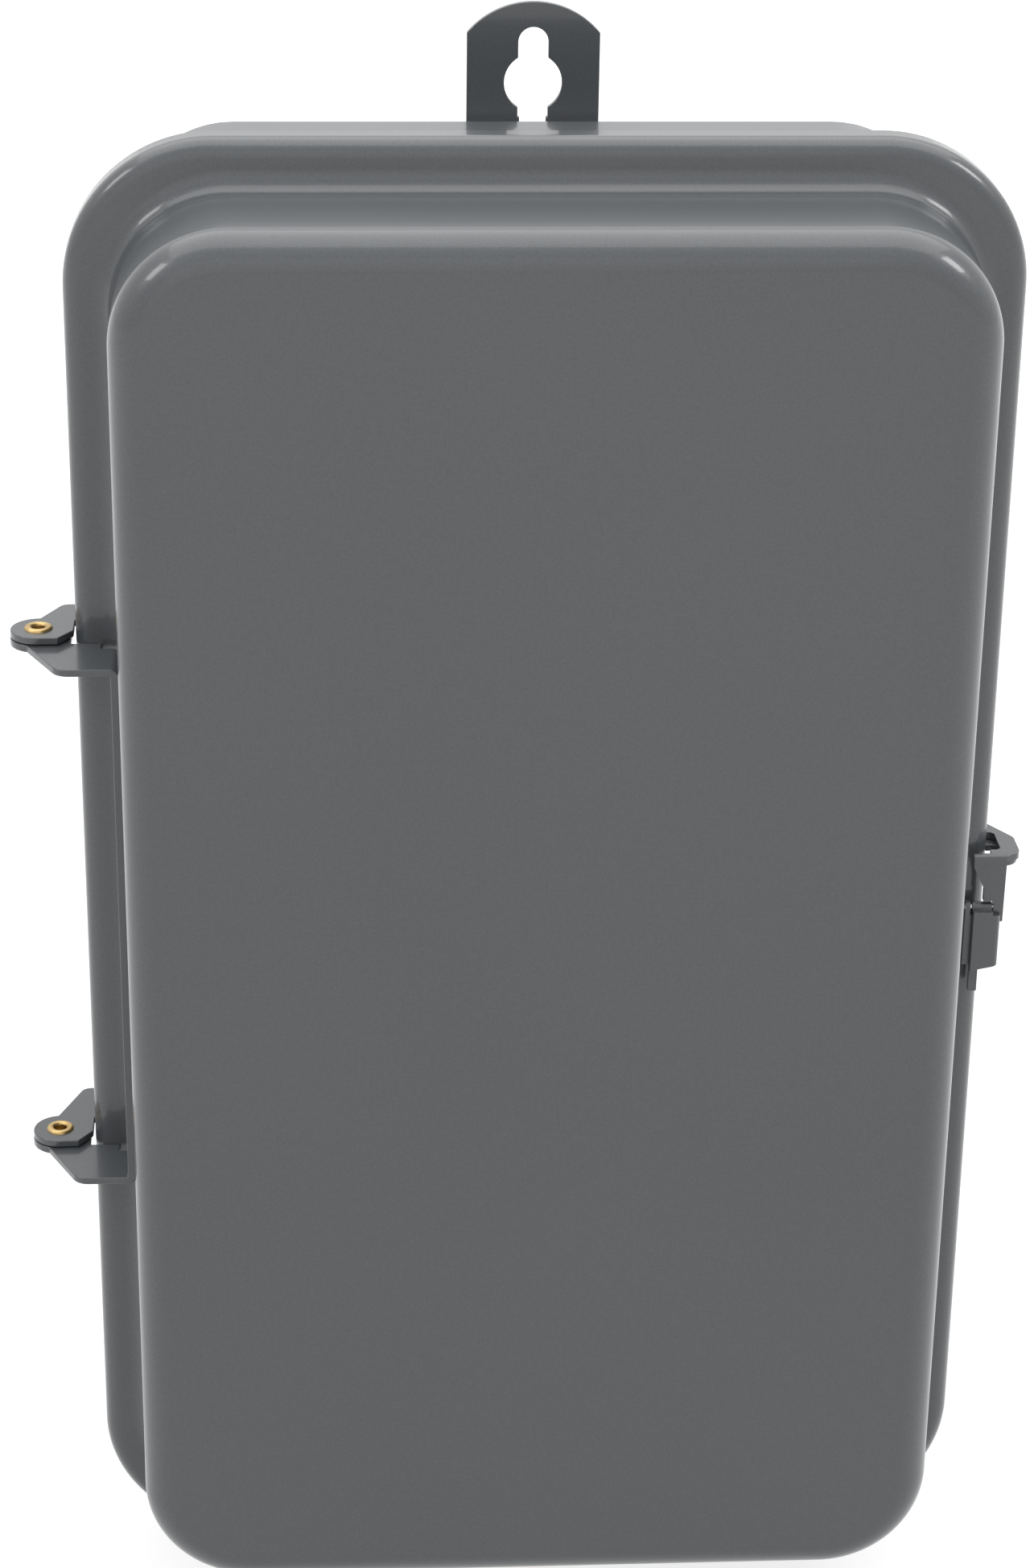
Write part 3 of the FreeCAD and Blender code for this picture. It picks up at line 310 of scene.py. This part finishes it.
def merged(node):
    """A joined-up copy of a node's triangles, smooth but for its corners."""
    bm = bmesh.new()
    bm.from_mesh(NODES[node].data)
    bmesh.ops.remove_doubles(bm, verts=bm.verts, dist=SLIVER.get(node, USUAL_SLIVER) * MM)
    bmesh.ops.dissolve_limit(bm, angle_limit=math.radians(0.5), verts=bm.verts, edges=bm.edges)
    mesh = bpy.data.meshes.new(node + "_form")
    bm.to_mesh(mesh)
    bm.free()
    return smooth(mesh)


def smooth(mesh, angle=32.0):
    mesh.polygons.foreach_set("use_smooth", [True] * len(mesh.polygons))
    mesh.set_sharp_from_angle(angle=math.radians(angle))
    return mesh


def dress(node, width):
    """The node's own shape with its sharp edges eased."""
    piece = show(merged(node), node + "_dressed", node)
    if width:
        soften(piece, width)
    return even_normals(piece)


def rounded_plate(bm, w, h, r, q, steps=28):
    """One face: a rectangle in the plane y = -q with arcs at its corners."""
    turn = Matrix.Translation((0, -q, 0)) @ Matrix.Rotation(math.pi / 2, 4, "X")
    made = bmesh.ops.create_grid(bm, x_segments=1, y_segments=1, size=0.5)
    corners = made["verts"]
    bmesh.ops.scale(bm, vec=(w, h, 1), verts=corners)
    bmesh.ops.transform(bm, matrix=turn, verts=corners)
    bmesh.ops.bevel(bm, geom=corners, offset=r, segments=steps, profile=0.5,
                    affect="VERTICES", material=-1)
    return max(bm.faces, key=lambda f: len(f.verts))


def step(bm, face, inward, forward):
    """Carries a cap face on by one ring of walls and returns the new cap."""
    if inward > 1e-9:
        bmesh.ops.inset_individual(bm, faces=[face], thickness=inward, depth=forward,
                                   use_even_offset=True)
    else:
        face = bmesh.ops.extrude_discrete_faces(bm, faces=[face])["faces"][0]
        bmesh.ops.translate(bm, vec=face.normal * forward, verts=face.verts)
    return face


def arc(bm, face, radius, convex, parts):
    """A quarter-round ring: convex rolls inward over the top, concave rises into a wall."""
    for k in range(parts):
        a = math.pi / 2 * k / parts
        b = math.pi / 2 * (k + 1) / parts
        if convex:
            inward = radius * (math.cos(a) - math.cos(b))
            forward = radius * (math.sin(b) - math.sin(a))
        else:
            inward = radius * (math.sin(b) - math.sin(a))
            forward = radius * (math.cos(a) - math.cos(b))
        face = step(bm, face, inward, forward)
    return face


def rounded_plate_at(bm, w, h, r, q, steps=28):
    """The same face added to a mesh that has others."""
    part = bmesh.new()
    rounded_plate(part, w, h, r, q, steps)
    mesh = bpy.data.meshes.new("ring")
    part.to_mesh(mesh)
    part.free()
    before = set(bm.faces)
    bm.from_mesh(mesh)
    bpy.data.meshes.remove(mesh)
    return max((f for f in bm.faces if f not in before), key=lambda f: len(f.verts))


def drawn_cover():
    """The pressed cover's outer skin: skirt, rolled rim, flange, concave root, wall and nose."""
    low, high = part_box("front_cover")
    w, h = high.x - low.x, high.z - low.z
    front, back = -low.y, -high.y
    rim_front = back + SKIRT
    bm = bmesh.new()
    rim = rounded_plate(bm, w, h, RIM_CORNER, back)
    rim = step(bm, rim, 0, SKIRT - ROLL)
    rim = arc(bm, rim, ROLL, True, 8)
    bmesh.ops.delete(bm, geom=[rim], context="FACES_ONLY")
    foot = 2 * (DOME_INSET - ROOT)
    dome = rounded_plate_at(bm, w - foot, h - foot, DOME_CORNER + ROOT, rim_front)
    dome = arc(bm, dome, ROOT, False, 8)
    dome = step(bm, dome, 0, front - NOSE - rim_front - ROOT)
    dome = arc(bm, dome, NOSE, True, 14)
    for _ in range(2):
        dome = step(bm, dome, FACE_RING, 0.0)
    flange = [e for e in bm.edges if e.is_boundary and -e.verts[0].co.y > back + ROLL]
    bmesh.ops.bridge_loops(bm, edges=flange)
    return bm


def make_cover():
    bm = drawn_cover()
    bmesh.ops.recalc_face_normals(bm, faces=bm.faces)
    face = max(bm.faces, key=lambda f: f.calc_area())
    if face.normal.y > 0:
        bmesh.ops.reverse_faces(bm, faces=bm.faces)
    mesh = bpy.data.meshes.new("pressed_cover")
    bm.to_mesh(mesh)
    bm.free()
    piece = show(smooth(mesh, 40.0), "pressed_cover", "front_cover")
    wall = piece.modifiers.new("sheet", "SOLIDIFY")
    wall.thickness = SHEET
    wall.offset = -1.0
    wall.use_even_offset = True
    return piece


def spun(outline, x, y, steps=64):
    """A closed outline of (radius, height) points turned about an upright line."""
    bm = bmesh.new()
    ring = [bmesh.ops.create_vert(bm, co=(x + r, y, z))["vert"][0] for r, z in outline]
    edges = []
    for k, spot in enumerate(ring):
        made = bmesh.ops.contextual_create(bm, geom=[spot, ring[(k + 1) % len(ring)]])
        edges += made["edges"]
    bmesh.ops.spin(bm, geom=ring + edges, cent=(x, y, 0), axis=(0, 0, 1),
                   angle=2 * math.pi, steps=steps, use_merge=True)
    bmesh.ops.remove_doubles(bm, verts=bm.verts, dist=1e-7)
    bmesh.ops.recalc_face_normals(bm, faces=bm.faces)
    mesh = bpy.data.meshes.new("spun")
    bm.to_mesh(mesh)
    bm.free()
    return smooth(mesh, 50.0)


def make_eyelet(node):
    """Hollow rivet with a rolled head at each end."""
    low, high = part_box(node)
    x, y = (low.x + high.x) / 2, (low.y + high.y) / 2
    head = (high.x - low.x) / 2
    middle, half = (head + BORE) / 2, (head - BORE) / 2
    roll = []
    for k in range(CROWN_STEPS + 1):
        turn = math.pi * k / CROWN_STEPS
        roll.append((middle + half * math.cos(turn), CROWN * math.sin(turn)))
    top = [(r, high.z - CROWN + lift) for r, lift in roll]
    foot = [(r, low.z + CROWN - lift) for r, lift in reversed(roll)]
    outline = [(SHANK, high.z - CROWN)] + top + foot + [(SHANK, low.z + CROWN)]
    return show(spun(outline, x, y), node + "_rolled", node)


make_cover()
for node in NODES:
    if node == "front_cover":
        continue
    if node.endswith("_hinge_rivet"):
        make_eyelet(node)
    else:
        dress(node, EASED.get(node, USUAL_EASE) * MM)


# ---------------------------------------------------------------- stage, light, camera
def make_floor():
    low, high = CAD_BOX
    bm = bmesh.new()
    bmesh.ops.create_grid(bm, x_segments=1, y_segments=1, size=6.0)
    bmesh.ops.translate(bm, vec=(0, 0, low[2] - 0.0006), verts=bm.verts)
    mesh = bpy.data.meshes.new("floor")
    bm.to_mesh(mesh)
    bm.free()
    floor = bpy.data.objects.new("floor", mesh)
    bpy.context.scene.collection.objects.link(floor)
    net = new_net("pale_floor")
    rays = net.add("ShaderNodeLightPath")
    seen = rays.out("Is Camera Ray").most(rays.out("Is Glossy Ray"))
    across = net.add("ShaderNodeVectorMath", {"operation": "LENGTH"}, {0: net.object_place()})
    far = net.add("ShaderNodeMapRange", {"interpolation_type": "SMOOTHSTEP"},
                  {"Value": across.out("Value"), "From Min": 0.4, "From Max": 1.6})
    glow = net.mix(far.out(), colour(0.80, 0.80, 0.80), colour(1.0, 1.0, 1.0))
    lift = net.mix(seen, colour(0, 0, 0), glow)
    tone = net.mix(net.noise(30.0), colour(0.33, 0.33, 0.33), colour(0.37, 0.37, 0.37))
    mesh.materials.append(net.finish(Base_Color=tone, Roughness=0.9, Emission_Color=lift,
                                     Emission_Strength=1.0))


def make_world():
    world = bpy.data.worlds.new("studio")
    bpy.context.scene.world = world
    net = Net(world)
    rays = net.add("ShaderNodeLightPath")
    seen = rays.out("Is Camera Ray").most(rays.out("Is Glossy Ray"))
    seen = seen.most(rays.out("Is Transmission Ray"))
    fill = net.add("ShaderNodeBackground", None, {"Color": colour(1, 1, 1), "Strength": 0.55})
    white = net.add("ShaderNodeBackground", None, {"Color": colour(1, 1, 1), "Strength": 1.0})
    both = net.add("ShaderNodeMixShader", None, {0: seen, 1: fill.out(), 2: white.out()})
    end = net.add("ShaderNodeOutputWorld")
    net.tree.links.new(both.out().socket, end.node.inputs["Surface"])


def lamp(name, place, aim, size, power):
    data = bpy.data.lights.new(name, "AREA")
    data.shape = "RECTANGLE"
    data.size, data.size_y = size
    data.energy = power
    lamp_object = bpy.data.objects.new(name, data)
    bpy.context.scene.collection.objects.link(lamp_object)
    lamp_object.location = place
    lamp_object.rotation_euler = (Vector(aim) - Vector(place)).to_track_quat("-Z", "Y").to_euler()


def make_camera():
    pitch, yaw, tilt = (math.radians(a) for a in (PITCH, YAW, TILT))
    ahead = Vector((math.sin(yaw) * math.cos(pitch), math.cos(yaw) * math.cos(pitch),
                    -math.sin(pitch)))
    right = Vector((math.cos(yaw), -math.sin(yaw), 0))
    down = ahead.cross(right)
    across = right * math.cos(tilt) + down * math.sin(tilt)
    below = down * math.cos(tilt) - right * math.sin(tilt)
    data = bpy.data.cameras.new("view")
    data.lens = LENS
    data.sensor_width = 36.0
    camera = bpy.data.objects.new("view", data)
    bpy.context.scene.collection.objects.link(camera)
    spin = Matrix((across, -below, -ahead)).transposed().to_4x4()
    camera.matrix_world = Matrix.Translation(CAMERA_AT) @ spin
    bpy.context.scene.camera = camera


make_floor()
make_world()
lamp("overhead", (0.05, 0.3, 1.6), (0, 0, 0.1), (2.6, 2.0), 22.0)
lamp("front_fill", (-0.5, -2.3, 0.9), (0, 0, 0), (2.0, 1.6), 2.6)
lamp("left_high", (-1.1, -0.35, 1.0), (-0.1, -0.1, 0.15), (0.35, 0.35), 2.4)
lamp("right_high", (1.1, -0.35, 1.0), (0.1, -0.1, 0.15), (0.35, 0.35), 3.6)
make_camera()
bpy.context.scene.view_settings.view_transform = "Standard"
